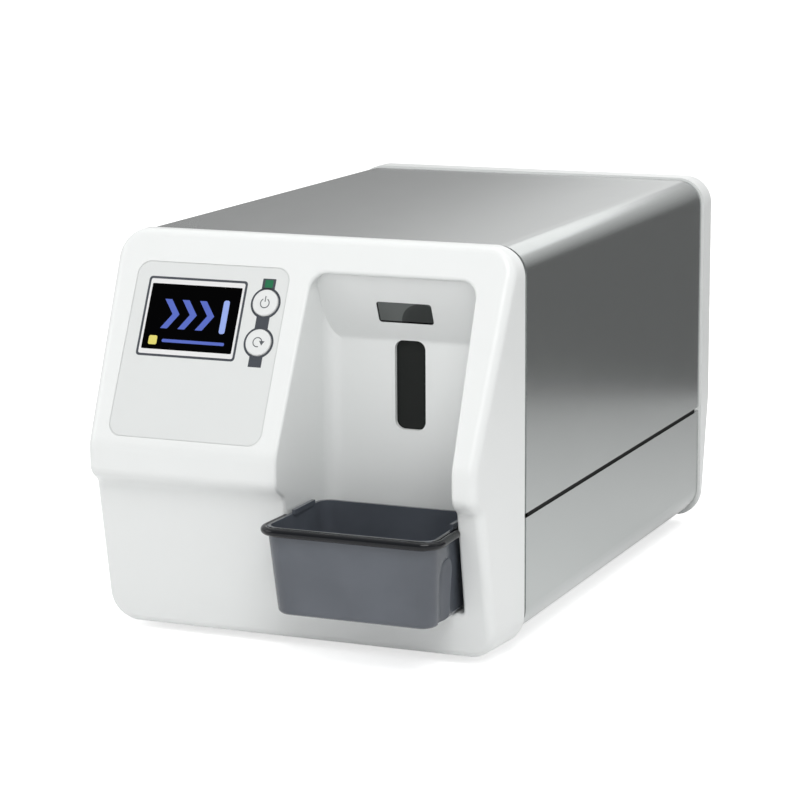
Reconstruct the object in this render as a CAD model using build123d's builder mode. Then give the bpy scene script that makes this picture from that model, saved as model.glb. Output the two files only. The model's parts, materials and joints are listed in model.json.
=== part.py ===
from build123d import *
import os
from math import cos, radians, sin, tan

# Table-top scanner for dental phosphor plates. Millimetres, +Z up, the front faces -Y and the origin is
# on the surface it stands on, under the middle of the whole length and width.

# Metal covers
cover_width = 211.0
cover_height = 192.0
cover_length = 290.0  # from the front bezel to the rear bezel
cover_radius = 14.0
sheet = 1.2
joint_gap = 1.0  # shadow gap between a bezel and the covers
seam_height = 60.8  # middle of the groove between the covers, above their underside
seam_gap = 2.3
foot_height = 7.0

# Front bezel
bezel_proud = 0.9
bezel_drop = 3.0  # how far both bezels hang below the covers
bezel_radius = 15.0
bezel_wall = 3.0
crest_depth = 7.4
slope_angle = 25.6  # of the control face, from upright
face_reach = 55.3
band_height = 15.6  # upright band under the control face
step_back = 8.6
step_drop = 6.0
lower_lean = 11.65
side_taper = 4.45
edge_radius = 5.0
spigot_length = 5.0
spigot_wall = 2.0

# Recess with the plate slot and the tray
recess_left = 2.5
recess_margin = 18.7  # from the recess to the side of the covers
recess_depth = 2.0  # of its back wall, behind the front edge of the covers
recess_wall = 2.5
flare_left = 0.04
flare_right = 0.06
ceiling_drop = 15.7
brow_angle = 23.0
brow_height = 33.1
recess_corner = 8.0
recess_low_corner = 2.0
recess_floor = 20.0  # above the underside of the covers
rim_radius = 1.6
slot_width = 16.1
slot_height = 44.3
slot_radius = 4.5
slot_sink = 48.6  # from the top of the covers to the top of the slot
window_width = 28.5
window_height = 11.3
window_drop = 20.1  # of the middle of the sensor window, below the top of the brow, along it

# Control label, laid out from its own middle
label_margin = 13.8  # from the label to the side of the covers
label_drop = 61.3
label_width = 82.5
label_height = 89.6
label_radius = 7.0
label_thick = 0.4
display_u = -7.3
display_v = 16.75
display_width = 53.7
display_height = 40.6
glass_thick = 1.4
screen_width = 49.2
screen_height = 33.6
button_u = 30.9
button_v = 16.7
button_pitch = 20.05
button_diameter = 13.2
button_travel = 0.7
pipe_v = 36.4
pipe_width = 7.0
pipe_height = 5.4
pipe_stem = 3.2  # of the light pipe behind the wall, where it passes the button
board_thick = 1.6
board_depth = 9.0  # from the control face to the keypad board

# Tray
tray_reach = 76.2  # of its rim, in front of the covers
tray_setback = 8.5  # of its back wall, in front of the covers
tray_height = 43.4
tray_side_gap = 0.35
tray_wall = 1.8
tray_draft_left = 4.9  # of the side walls, from upright
tray_draft_right = 2.8
tray_lean = 4.8  # of the front wall
tray_corner = 8.0
tray_base_radius = 2.6
bead_radius = 2.0
bead_offset = 1.2  # of the bead's middle, outside the tray's wall
tray_flare = 0.035
lip_rise = 2.0  # of the raised side walls, above the rim
lip_reach = (20.0, 43.0)  # of these walls, in front of the covers
flute_radius = 12.0
flute_depth = 3.6
flute_reach = 54.0  # of the grip flutes, in front of the covers
flute_drop = 20.5

# Rear bezel
rear_depth = 17.0
rear_wall = 2.6
rear_knee = 65.0
rear_foot_depth = 4.0
rear_edge_radius = 3.5
inlet_flange = 1.6

# Frames, deck and mechanism
frame_thick = 1.5
deck_drop = 59.25  # of the underside of the deck, below the middle of the slot
deck_thick = 3.0
rod_rise = 19.0  # of the rods and the screw, above the deck
rod_radius = 4.0
rod_spread = 14.0
screw_radius = 4.0
carriage_travel = 105.0
carriage_length = 40.0
carriage_rise = 9.0
block_depth = 8.0
shutter_travel = 18.5
shutter_thick = 1.2
shutter_lap = 2.0
scan_line = 100.0  # behind the front edge of the covers
polygon_x = -62.0
polygon_radius = 16.0
tube_radius = 14.0
tube_x = -5.0

# Clearances
fit_gap = 0.15
run_gap = 0.05
snug_gap = 0.1

# Places worked out from the sizes above
total_length = tray_reach + cover_length + rear_depth + inlet_flange
front_y = tray_reach - total_length / 2
rear_y = front_y + cover_length
floor_z = foot_height
top_z = floor_z + cover_height
cover_mid_z = floor_z + cover_height / 2
bezel_width = cover_width + 2 * bezel_proud
bezel_low = floor_z - bezel_drop
bezel_high = top_z + bezel_proud
bezel_height = bezel_high - bezel_low
bezel_mid_z = (bezel_low + bezel_high) / 2
seam_z = floor_z + seam_height
slope_drop = (face_reach - crest_depth) / tan(radians(slope_angle))
band_top_z = bezel_high - slope_drop
band_low_z = band_top_z - band_height
step_z = band_low_z - step_drop
step_y = front_y - face_reach + step_back
lower_y = step_y + tan(radians(lower_lean)) * (step_z - bezel_low)
recess_right = cover_width / 2 - recess_margin
label_x = label_margin + label_width / 2 - cover_width / 2
wall_y = front_y + recess_depth  # front of the recess's back wall
wall_back_y = wall_y + recess_wall
floor_top_z = floor_z + recess_floor
ceiling_z = top_z - ceiling_drop
brow_foot_z = ceiling_z - brow_height
brow_top_y = wall_y - tan(radians(brow_angle)) * brow_height
slot_x = (recess_left + recess_right) / 2 + 1.5
slot_mid_z = top_z - slot_sink - slot_height / 2
slope_plane = Plane(
    origin=(0, front_y - crest_depth, bezel_high),
    x_dir=(1, 0, 0),
    z_dir=(0, -cos(radians(slope_angle)), sin(radians(slope_angle))),
)
brow_plane = Plane(
    origin=(slot_x, brow_top_y, ceiling_z),
    x_dir=(1, 0, 0),
    z_dir=(0, -cos(radians(brow_angle)), -sin(radians(brow_angle))),
)
frame_y = front_y + spigot_length
deck_low_z = slot_mid_z - deck_drop
deck_z = deck_low_z + deck_thick
axis_z = deck_z + rod_rise
scan_y = front_y + scan_line
floor_in_z = floor_z + sheet
foot_x = cover_width / 2 - 28.0
foot_inset = 32.0
boss_x = cover_width / 2 - 8.5
boss_high_z = top_z - 19.0
boss_low_z = floor_z + 18.0
boss_radius = 3.5
pilot_radius = 1.3
screw_shank = 1.2
screw_head = 2.6
button_rows = (button_v + button_pitch / 2, button_v - button_pitch / 2)

os.makedirs("parts", exist_ok=True)


def write(part, name):
    """Label a finished piece and write it to its own file."""
    part.label = name
    export_step(part, "parts/" + name + ".step")


def slab(x, y, z, mode=Mode.ADD):
    """Block between two limits on each axis."""
    with Locations(((x[0] + x[1]) / 2, (y[0] + y[1]) / 2, (z[0] + z[1]) / 2)):
        Box(x[1] - x[0], y[1] - y[0], z[1] - z[0], mode=mode)


def rod_y(x, y, z, radius, mode=Mode.ADD):
    """Round bar along Y."""
    with Locations((x, (y[0] + y[1]) / 2, z)):
        Cylinder(radius, y[1] - y[0], rotation=(90, 0, 0), mode=mode)


def rod_x(x, y, z, radius, mode=Mode.ADD):
    """Round bar along X."""
    with Locations(((x[0] + x[1]) / 2, y, z)):
        Cylinder(radius, x[1] - x[0], rotation=(0, 90, 0), mode=mode)


def rod_z(x, y, z, radius, mode=Mode.ADD):
    """Round bar along Z."""
    with Locations((x, y, (z[0] + z[1]) / 2)):
        Cylinder(radius, z[1] - z[0], mode=mode)


def casing_outline(inset, mode=Mode.ADD):
    """Rounded outline of the metal covers, drawn in by inset."""
    with Locations((0, cover_mid_z)):
        RectangleRounded(
            cover_width - 2 * inset, cover_height - 2 * inset, cover_radius - inset, mode=mode
        )


def front_profile(inset):
    """Stepped front seen from the side, drawn in by inset."""
    behind = front_y + 40
    with BuildSketch(Plane.YZ) as side:
        with BuildLine():
            front = FilletPolyline(
                (front_y - crest_depth, bezel_high),
                (front_y - face_reach, band_top_z),
                (front_y - face_reach, band_low_z),
                (step_y, step_z),
                (lower_y, bezel_low),
                radius=[14.0, 7.0, 5.0],
            )
            Polyline(front @ 1, (behind, bezel_low), (behind, bezel_high), front @ 0)
        make_face()
        if inset > 0:
            offset(amount=-inset, kind=Kind.INTERSECTION, mode=Mode.REPLACE)
    return side.sketch


def front_form(inset):
    """Front bezel as a solid block, drawn in by inset on every side but the back."""
    with BuildPart() as form:
        for reach in (0, face_reach + 6):
            narrowing = 2 * inset + 2 * reach * tan(radians(side_taper))
            with BuildSketch(Plane.XZ.offset(reach - front_y)):
                with Locations((0, bezel_mid_z)):
                    RectangleRounded(
                        bezel_width - narrowing, bezel_height - 2 * inset, bezel_radius - inset
                    )
        loft(ruled=True)
        extrude(front_profile(inset), amount=bezel_width, both=True, mode=Mode.INTERSECT)
    return form.part


def recess_form(grow):
    """Space of the recess, grown by a wall on every side but the front."""
    mouth_y = front_y - face_reach - 10
    back_y = wall_y + grow
    run = wall_y - mouth_y
    left = recess_left - grow
    right = recess_right + grow
    slant = tan(radians(brow_angle))
    shift = grow / cos(radians(brow_angle))
    with BuildPart() as form:
        for y, spread in ((back_y, 0), (mouth_y, run)):
            low_x = left - flare_left * spread
            high_x = right + flare_right * spread
            with BuildSketch(Plane.XZ.offset(-y)) as mouth:
                with Locations(((low_x + high_x) / 2, (floor_top_z + ceiling_z) / 2)):
                    Rectangle(high_x - low_x, ceiling_z - floor_top_z + 2 * grow)
                fillet(mouth.vertices().group_by(Axis.Y)[-1], recess_corner + grow)
                fillet(mouth.vertices().group_by(Axis.Y)[0], recess_low_corner + grow)
        loft(ruled=True)
        with BuildSketch(Plane.XY.offset(floor_top_z - grow)):
            with BuildLine():
                Polyline(
                    (left, back_y),
                    (right, back_y),
                    (right + flare_right * run, mouth_y),
                    (left - flare_left * run, mouth_y),
                    close=True,
                )
            make_face()
            fillet(vertices().group_by(Axis.Y)[-1], recess_corner + grow)
        extrude(amount=ceiling_z - floor_top_z + 2 * grow, mode=Mode.INTERSECT)
        with BuildSketch(Plane.YZ):
            with BuildLine():
                path = FilletPolyline(
                    (mouth_y, floor_top_z - grow),
                    (back_y, floor_top_z - grow),
                    (back_y, brow_foot_z + (shift - grow) / slant),
                    (wall_y + shift - slant * (brow_height + grow), ceiling_z + grow),
                    (mouth_y, ceiling_z + grow),
                    radius=[1.2 + grow, 6.0, 1.0 + grow],
                )
                Line(path @ 1, path @ 0)
            make_face()
        extrude(amount=bezel_width, both=True, mode=Mode.INTERSECT)
    return form.part


def boss_bars(y, radius):
    """Four bars along Y at the corner bosses."""
    with BuildPart() as bars:
        for z in (boss_high_z, boss_low_z):
            for x in (-boss_x, boss_x):
                rod_y(x, y, z, radius)
    return bars.part


def label_spot(u, v):
    """Place on the control face, from the middle of the label."""
    return (label_x + u, v - label_drop)


# Front bezel: a moulded shell, stepped in side view and tapered in plan, with the recess moulded in
with BuildPart() as front_hollow:
    add(front_form(bezel_wall))
    add(recess_form(recess_wall), mode=Mode.SUBTRACT)
    add(boss_bars((front_y - 60, front_y + 1), boss_radius), mode=Mode.SUBTRACT)
    with BuildSketch(slope_plane.offset(-bezel_wall)):
        with Locations(*[label_spot(u, v) for u in (-38.5, 39.5) for v in (-5.0, 39.0)]):
            Circle(2.5)
    extrude(amount=-board_depth + bezel_wall, mode=Mode.SUBTRACT)

with BuildPart() as recess_block:
    add(recess_form(recess_wall))
    slab((-20, 120), (front_y - 80, front_y - 1), (0, 220), Mode.SUBTRACT)

with BuildPart() as front_bezel:
    add(front_form(0))
    outline = [
        edge
        for edge in front_bezel.edges()
        if edge.center().Y < front_y - 2
        and not (abs(edge.center().X) > 20 and abs((edge % 0.5).X) > 0.98)
        and not (abs(edge.center().X) < 1 and abs(edge.center().Z - bezel_mid_z) < bezel_height / 2 - 1)
        and abs((edge % 0.5).Y) < 0.985
    ]
    fillet(outline, edge_radius)
    add(recess_block.part)
    add(recess_form(0), mode=Mode.SUBTRACT)
    rim = [
        edge
        for edge in front_bezel.edges()
        if recess_left - 3 < edge.center().X < recess_right + 6
        and edge.center().Y < brow_top_y - 1
        and abs((edge % 0.5).Y) < 0.97
        and floor_top_z - 1 < edge.center().Z < ceiling_z + 1
        and not (abs((edge % 0.5).X) > 0.98 and floor_top_z + 2 < edge.center().Z < ceiling_z - 2)
    ]
    fillet(rim, rim_radius)
    add(front_hollow.part, mode=Mode.SUBTRACT)
    with BuildSketch(Plane.XZ.offset(3 - front_y)):
        casing_outline(sheet + fit_gap)
        casing_outline(sheet + fit_gap + spigot_wall, Mode.SUBTRACT)
    extrude(amount=-spigot_length - 3)
    add(recess_form(0), mode=Mode.SUBTRACT)
    add(boss_bars((front_y - 1, frame_y), boss_radius))
    add(boss_bars((front_y - 9, frame_y), pilot_radius), mode=Mode.SUBTRACT)
    with BuildSketch(slope_plane):
        with Locations(label_spot(0, 0)):
            RectangleRounded(label_width + 0.3, label_height + 0.3, label_radius)
    extrude(amount=-label_thick - 0.1, mode=Mode.SUBTRACT)
    with BuildSketch(slope_plane):
        with Locations(label_spot(display_u, display_v)):
            RectangleRounded(display_width, display_height, 2.5)
    extrude(amount=-glass_thick - 0.1, mode=Mode.SUBTRACT)
    with BuildSketch(slope_plane):
        with Locations(label_spot(display_u, display_v)):
            Rectangle(screen_width, screen_height)
        with Locations(*[label_spot(button_u, v) for v in button_rows]):
            Circle(button_diameter / 2 + 0.2)
        with Locations(label_spot(button_u, pipe_v)):
            Rectangle(pipe_width, pipe_height)
    extrude(amount=-bezel_wall - 1, mode=Mode.SUBTRACT)
    with BuildSketch(brow_plane):
        with Locations((0, -window_drop)):
            RectangleRounded(window_width + 2 * snug_gap, window_height + 2 * snug_gap, 1.5)
    extrude(amount=-6, mode=Mode.SUBTRACT)
    with BuildSketch(Plane.XZ.offset(1 - wall_y)):
        with Locations((slot_x, slot_mid_z)):
            RectangleRounded(slot_width, slot_height, slot_radius)
    extrude(amount=-recess_wall - 2, mode=Mode.SUBTRACT)
write(front_bezel.part, "front_bezel")

# Rear bezel: a shallow moulded cap with a raked lower half, vents and openings for the sockets
rear_face_y = rear_y + rear_depth
inlet_x = -56.0
port_x = 34.0
port_z = floor_z + 88.0
inlet_width = 50.0
inlet_height = 28.0
jack_width = 16.0
jack_height = 13.5


def rear_form(inset):
    """Rear bezel as a solid block, drawn in by inset on every side but the front."""
    with BuildPart() as form:
        with BuildSketch(Plane.XZ.offset(-rear_y)):
            with Locations((0, bezel_mid_z)):
                RectangleRounded(
                    bezel_width - 2 * inset, bezel_height - 2 * inset, bezel_radius - inset
                )
        extrude(amount=-rear_depth - 2)
        with BuildSketch(Plane.YZ) as side:
            with BuildLine():
                path = FilletPolyline(
                    (rear_face_y, bezel_high),
                    (rear_face_y, floor_z + rear_knee),
                    (rear_y + rear_foot_depth, bezel_low),
                    radius=8.0,
                )
                Polyline(path @ 1, (rear_y - 30, bezel_low), (rear_y - 30, bezel_high), path @ 0)
            make_face()
            if inset > 0:
                offset(amount=-inset, kind=Kind.INTERSECTION, mode=Mode.REPLACE)
        extrude(amount=bezel_width, both=True, mode=Mode.INTERSECT)
    return form.part


with BuildPart() as rear_hollow:
    add(rear_form(rear_wall))
    add(boss_bars((rear_y - 1, rear_y + 60), boss_radius), mode=Mode.SUBTRACT)

with BuildPart() as rear_bezel:
    add(rear_form(0))
    outline = [
        edge
        for edge in rear_bezel.edges()
        if edge.center().Y > rear_y + 2
        and not (abs(edge.center().X) > 20 and abs((edge % 0.5).X) > 0.98)
        and not (abs(edge.center().X) < 1 and abs(edge.center().Z - bezel_mid_z) < bezel_height / 2 - 1)
        and abs((edge % 0.5).Y) < 0.985
    ]
    fillet(outline, rear_edge_radius)
    add(rear_hollow.part, mode=Mode.SUBTRACT)
    with BuildSketch(Plane.XZ.offset(-rear_y - 2)):
        casing_outline(sheet + fit_gap)
        casing_outline(sheet + fit_gap + spigot_wall, Mode.SUBTRACT)
    extrude(amount=spigot_length + 2)
    add(boss_bars((rear_y - spigot_length, rear_y + 1), boss_radius))
    add(boss_bars((rear_y - spigot_length, rear_y + 3), pilot_radius), mode=Mode.SUBTRACT)
    with BuildSketch(Plane.XZ.offset(-rear_face_y - 1)):
        with Locations((inlet_x, port_z)):
            Rectangle(inlet_width - 4, inlet_height - 4)
        with Locations((port_x, port_z)):
            Rectangle(jack_width + 0.4, jack_height + 0.4)
        with Locations((0, top_z - 45)):
            with GridLocations(9, 1, 15, 1):
                SlotOverall(34, 3.2, rotation=90)
    extrude(amount=rear_wall + 3, mode=Mode.SUBTRACT)
write(rear_bezel.part, "rear_bezel")

# Covers: two folded sheets that meet at the seam, with hemmed front ends
shell_front_y = front_y + joint_gap
shell_rear_y = rear_y - joint_gap
shell_mid_y = (shell_front_y + shell_rear_y) / 2


def casing_ring(outer, inner, start_y, end_y):
    """Ring with the outline of the covers, between two insets and two places along Y."""
    with BuildPart() as ring:
        with BuildSketch(Plane.XZ.offset(-start_y)):
            casing_outline(outer)
            casing_outline(inner, Mode.SUBTRACT)
        extrude(amount=start_y - end_y)
    return ring.part


with BuildPart() as top_cover:
    add(casing_ring(0, sheet, shell_front_y, shell_rear_y))
    for start_y in (shell_front_y, shell_rear_y - 3.5):
        add(casing_ring(-1, 0.35, start_y, start_y + 3.5), mode=Mode.SUBTRACT)
    slab((-120, 120), (front_y, rear_y), (0, seam_z + seam_gap / 2), Mode.SUBTRACT)
write(top_cover.part, "top_cover")

foot_places = [
    (x, y) for x in (-foot_x, foot_x) for y in (front_y + foot_inset, rear_y - foot_inset)
]
with BuildPart() as base_pan:
    add(casing_ring(0, sheet, shell_front_y, shell_rear_y))
    for start_y in (shell_front_y, shell_rear_y - 3.5):
        add(casing_ring(-1, 0.35, start_y, start_y + 3.5), mode=Mode.SUBTRACT)
    slab((-120, 120), (front_y, rear_y), (seam_z - seam_gap / 2, 230), Mode.SUBTRACT)
    with Locations(*[(x, y, floor_z) for x, y in foot_places]):
        Cylinder(screw_shank + 0.5, 6, mode=Mode.SUBTRACT)
    with BuildSketch(Plane.XY.offset(floor_z - 1)):
        with Locations((-20, shell_mid_y)):
            with GridLocations(1, 8, 1, 9):
                SlotOverall(46, 3)
    extrude(amount=sheet + 2, mode=Mode.SUBTRACT)
write(base_pan.part, "base_pan")

with BuildPart() as seam_strips:
    for side in (-1, 1):
        inner = side * (cover_width / 2 - sheet)
        near = sorted((inner, inner - side * 1.4))
        tongue = sorted((inner - side * 0.2, inner + side * 0.6))
        slab(near, (front_y + 12, rear_y - 12), (seam_z - 6, seam_z + 6))
        slab(tongue, (front_y + 8, rear_y - 8), (seam_z - seam_gap / 2, seam_z + seam_gap / 2))
write(seam_strips.part, "seam_strips")

# Feet and their screws
with BuildPart() as feet:
    for x, y in foot_places:
        rod_z(x, y, (0, floor_z), 9.0)
    chamfer(feet.edges().group_by(Axis.Z)[0], 1.0)
    for x, y in foot_places:
        rod_z(x, y, (0, 3.0), screw_head + 0.9, Mode.SUBTRACT)
        rod_z(x, y, (0, floor_z), screw_shank + 0.2, Mode.SUBTRACT)
write(feet.part, "feet")

with BuildPart() as foot_screws:
    for x, y in foot_places:
        rod_z(x, y, (1.2, 3.0), screw_head)
        rod_z(x, y, (2.0, floor_in_z + 3.4), screw_shank)
        rod_z(x, y, (floor_in_z, floor_in_z + 2.4), screw_head)
write(foot_screws.part, "foot_screws")

# Sheet frames behind the bezels, with feet on the base pan and the screws into the bezel bosses
frame_back_y = frame_y + frame_thick
rear_frame_y = rear_y - spigot_length
guide_left = slot_x - 17
guide_right = slot_x + slot_width / 2 + shutter_lap + shutter_travel + 2
guide_low_z = slot_mid_z - slot_height / 2 - 6
guide_high_z = slot_mid_z + slot_height / 2 + 5
post_x = cover_width / 2 - 21.5


def frame_plate(y, flange):
    """Upright sheet that fills the covers, with a foot flange bent to one side."""
    with BuildPart() as plate:
        with BuildSketch(Plane.XZ.offset(-y)):
            casing_outline(sheet + 0.3)
        extrude(amount=-frame_thick)
        slab((-74, 74), flange, (floor_in_z, floor_in_z + frame_thick))
        add(boss_bars((y - 3, y + 6), screw_shank + 0.2), mode=Mode.SUBTRACT)
        with BuildSketch(Plane.XZ.offset(5 - y)):
            with Locations((0, floor_z + 35)):
                RectangleRounded(150, 34, 5)
        extrude(amount=-12, mode=Mode.SUBTRACT)
    return plate.part


with BuildPart() as front_frame:
    add(frame_plate(frame_y, (frame_y, frame_y + 12)))
    with BuildSketch(Plane.XZ.offset(3 - frame_y)):
        with Locations((label_x - 4, (deck_z + top_z) / 2 + 2)):
            RectangleRounded(72, top_z - deck_z - 38, 5)
    extrude(amount=-6, mode=Mode.SUBTRACT)
    slab(
        (guide_left - 1, guide_right + 1),
        (frame_y - 1, frame_y + 3),
        (guide_low_z - 1, guide_high_z + 13),
        Mode.SUBTRACT,
    )
    slab(
        (slot_x - 20, slot_x + 20),
        (frame_y - 1, frame_y + 3),
        (ceiling_z - 3, ceiling_z + 6),
        Mode.SUBTRACT,
    )
write(front_frame.part, "front_frame")

with BuildPart() as rear_frame:
    add(frame_plate(rear_frame_y - frame_thick, (rear_frame_y - 12, rear_frame_y)))
    with BuildSketch(Plane.XZ.offset(-rear_frame_y - 3)):
        with Locations((0, top_z - 45)):
            RectangleRounded(140, 44, 5)
        with Locations((inlet_x, port_z)):
            Rectangle(inlet_width, inlet_height)
    extrude(amount=8, mode=Mode.SUBTRACT)
write(rear_frame.part, "rear_frame")

with BuildPart() as front_screws:
    add(boss_bars((frame_back_y, frame_back_y + 1.8), screw_head))
    add(boss_bars((frame_y - 11, frame_back_y + 1), screw_shank))
write(front_screws.part, "front_screws")

with BuildPart() as rear_screws:
    add(boss_bars((rear_frame_y - frame_thick - 1.8, rear_frame_y - frame_thick), screw_head))
    add(boss_bars((rear_frame_y - frame_thick - 1, rear_frame_y + 6), screw_shank))
write(rear_screws.part, "rear_screws")

# Control face: printed label, display, keypad board, two push buttons and a light pipe
with BuildPart() as control_label:
    with BuildSketch(slope_plane.offset(-label_thick - 0.1)):
        with Locations(label_spot(0, 0)):
            RectangleRounded(label_width, label_height, label_radius - 0.15)
        with Locations(label_spot(display_u, display_v)):
            RectangleRounded(display_width, display_height, 2.5, mode=Mode.SUBTRACT)
        with Locations(*[label_spot(button_u, v) for v in button_rows]):
            Circle(button_diameter / 2 + 0.2, mode=Mode.SUBTRACT)
        with Locations(label_spot(button_u, pipe_v)):
            Rectangle(pipe_width, pipe_height, mode=Mode.SUBTRACT)
    extrude(amount=label_thick)
write(control_label.part, "control_label")

with BuildPart() as display_window:
    with BuildSketch(slope_plane.offset(-glass_thick - 0.1)):
        with Locations(label_spot(display_u, display_v)):
            RectangleRounded(display_width - 0.2, display_height - 0.2, 2.4)
    extrude(amount=glass_thick)
write(display_window.part, "display_window")

board_top = board_depth
with BuildPart() as display_module:
    with BuildSketch(slope_plane.offset(-board_top)):
        with Locations(label_spot(display_u, display_v)):
            Rectangle(screen_width + 5, screen_height + 5)
    extrude(amount=board_top - bezel_wall - 0.9)
    with BuildSketch(slope_plane.offset(-bezel_wall - 0.9)):
        with Locations(label_spot(display_u, display_v)):
            Rectangle(screen_width - 0.4, screen_height - 0.4)
    extrude(amount=bezel_wall + 0.9 - glass_thick - 0.1)
write(display_module.part, "display_module")

cap_depth = bezel_wall + 2.2
for name, v in (("power_button", button_rows[0]), ("select_button", button_rows[1])):
    with BuildPart() as button:
        with BuildSketch(slope_plane.offset(-cap_depth)):
            with Locations(label_spot(button_u, v)):
                Circle(button_diameter / 2)
        extrude(amount=cap_depth + 0.9)
        chamfer(button.faces().sort_by(Axis(slope_plane.origin, slope_plane.z_dir))[-1].edges(), 0.4)
        with BuildSketch(slope_plane.offset(-bezel_wall - 1.3)):
            with Locations(label_spot(button_u, v)):
                Circle(button_diameter / 2 + 1.4)
        extrude(amount=1.0)
    write(button.part, name)

stem_v = pipe_v + (pipe_height - 0.2 - pipe_stem) / 2
with BuildPart() as light_pipe:
    with BuildSketch(slope_plane.offset(-bezel_wall)):
        with Locations(label_spot(button_u, pipe_v)):
            Rectangle(pipe_width - 0.2, pipe_height - 0.2)
    extrude(amount=bezel_wall - 0.1)
    with BuildSketch(slope_plane.offset(-board_top + 0.8)):
        with Locations(label_spot(button_u, stem_v)):
            Rectangle(pipe_width - 0.2, pipe_stem)
    extrude(amount=board_top - bezel_wall)
write(light_pipe.part, "light_pipe")

with BuildPart() as keypad_board:
    with BuildSketch(slope_plane.offset(-board_top - board_thick)):
        with Locations(label_spot(0.5, 17)):
            Rectangle(84, 51)
    extrude(amount=board_thick)
    with BuildSketch(slope_plane.offset(-board_top)):
        with Locations(*[label_spot(button_u, v) for v in button_rows]):
            Rectangle(6, 6)
    extrude(amount=board_top - cap_depth - 1.6)
    with BuildSketch(slope_plane.offset(-board_top)):
        with Locations(*[label_spot(button_u, v) for v in button_rows]):
            Circle(1.7)
    extrude(amount=board_top - cap_depth - button_travel - 0.15)
    with BuildSketch(slope_plane.offset(-board_top)):
        with Locations(label_spot(button_u, stem_v)):
            Rectangle(3.5, 3)
    extrude(amount=0.8)
    with BuildSketch(slope_plane.offset(-board_top - board_thick)):
        with Locations(label_spot(-20, 10)):
            Rectangle(14, 14)
        with Locations(label_spot(16, 28)):
            Rectangle(16, 8)
    extrude(amount=-1.8)
write(keypad_board.part, "keypad_board")

# Recess: sensor window in the brow with its board, and the slot's sliding shutter in a guide
with BuildPart() as sensor_window:
    with BuildSketch(brow_plane.offset(-recess_wall)):
        with Locations((0, -window_drop)):
            RectangleRounded(window_width, window_height, 1.4)
    extrude(amount=recess_wall)
    with BuildSketch(brow_plane.offset(-recess_wall)):
        with Locations((0, -window_drop)):
            Rectangle(window_width + 4, window_height + 4)
    extrude(amount=-1)
write(sensor_window.part, "sensor_window")

with BuildPart() as sensor_board:
    with BuildSketch(brow_plane.offset(-recess_wall - 1)):
        with Locations((0, -window_drop)):
            Rectangle(window_width + 4, window_height + 4)
    extrude(amount=-board_thick)
    with BuildSketch(brow_plane.offset(-recess_wall - 1 - board_thick)):
        with Locations((0, -window_drop)):
            with GridLocations(9, 1, 3, 1):
                Rectangle(5, 5)
    extrude(amount=-1.6)
write(sensor_board.part, "sensor_board")

shutter_y = wall_back_y + 0.2
channel_back_y = shutter_y + shutter_thick + 0.2
guide_back_y = channel_back_y + 2.5
shutter_low_z = slot_mid_z - slot_height / 2 - shutter_lap
shutter_high_z = slot_mid_z + slot_height / 2 + shutter_lap
shutter_left = slot_x - slot_width / 2 - shutter_lap
shutter_right = slot_x + slot_width / 2 + shutter_lap
arm_right = shutter_right
arm_left = arm_right - 6
plunger_y = frame_back_y + 7
plunger_z = guide_high_z + 5
solenoid_left = arm_right + shutter_travel + 3
solenoid_right = cover_width / 2 - sheet - 4
with BuildPart() as shutter_guide:
    slab((guide_left, guide_right), (wall_back_y, guide_back_y), (guide_low_z, guide_high_z))
    slab(
        (shutter_left - 1, guide_right + 1),
        (wall_back_y - 1, channel_back_y),
        (shutter_low_z - run_gap, guide_high_z + 1),
        Mode.SUBTRACT,
    )
    slab(
        (slot_x - slot_width / 2, slot_x + slot_width / 2),
        (wall_back_y - 1, guide_back_y + 1),
        (slot_mid_z - slot_height / 2, slot_mid_z + slot_height / 2),
        Mode.SUBTRACT,
    )
write(shutter_guide.part, "shutter_guide")

with BuildPart() as slot_shutter:
    slab(
        (shutter_left, shutter_right),
        (shutter_y, shutter_y + shutter_thick),
        (shutter_low_z, shutter_high_z),
    )
    slab(
        (arm_left, arm_right),
        (shutter_y, shutter_y + shutter_thick),
        (shutter_high_z - 1, plunger_z + 3),
    )
    slab((arm_left, arm_right), (shutter_y, plunger_y + 3), (plunger_z - 3, plunger_z + 3))
write(slot_shutter.part, "slot_shutter")

with BuildPart() as shutter_plunger:
    rod_x((arm_right, solenoid_left + 4), plunger_y, plunger_z, 2.5)
write(shutter_plunger.part, "shutter_plunger")

with BuildPart() as shutter_solenoid:
    slab(
        (solenoid_left, solenoid_right),
        (frame_back_y, frame_back_y + 14),
        (plunger_z - 7, plunger_z + 7),
    )
    rod_x((solenoid_left - 1, solenoid_right + 1), plunger_y, plunger_z, 2.6, Mode.SUBTRACT)
write(shutter_solenoid.part, "shutter_solenoid")

# Tray: a clear tub that stands in the recess and pulls out forwards
tray_low_z = floor_top_z + run_gap
tray_high_z = tray_low_z + tray_height
tray_back_y = front_y - tray_setback
bead_y = front_y - tray_reach + bead_radius
tray_front_y = bead_y + bead_offset
tray_left = recess_left + tray_side_gap
tray_right = recess_right - tray_side_gap
left_run = tray_height * tan(radians(tray_draft_left))
right_run = tray_height * tan(radians(tray_draft_right))
lean_run = tray_height * tan(radians(tray_lean))


def tray_corners(inset, drop):
    """Plan of the tray, drawn in by inset, at a depth below the rim."""
    left = tray_left + left_run * drop + inset
    right = tray_right - right_run * drop - inset
    front = tray_front_y + lean_run * drop + inset
    widen = tray_flare * (tray_back_y - tray_front_y)
    return (
        (left, tray_back_y - inset),
        (right, tray_back_y - inset),
        (right + widen, front),
        (left - widen, front),
    )


def tray_form(inset, lift):
    """Tapered block of the tray."""
    with BuildPart() as form:
        for z, drop in ((tray_high_z, 0), (tray_low_z + lift, 1 - lift / tray_height)):
            with BuildSketch(Plane.XY.offset(z)):
                with BuildLine():
                    Polyline(*tray_corners(inset, drop), close=True)
                make_face()
                fillet(vertices(), tray_corner - inset)
        loft(ruled=True)
    return form.part


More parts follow.
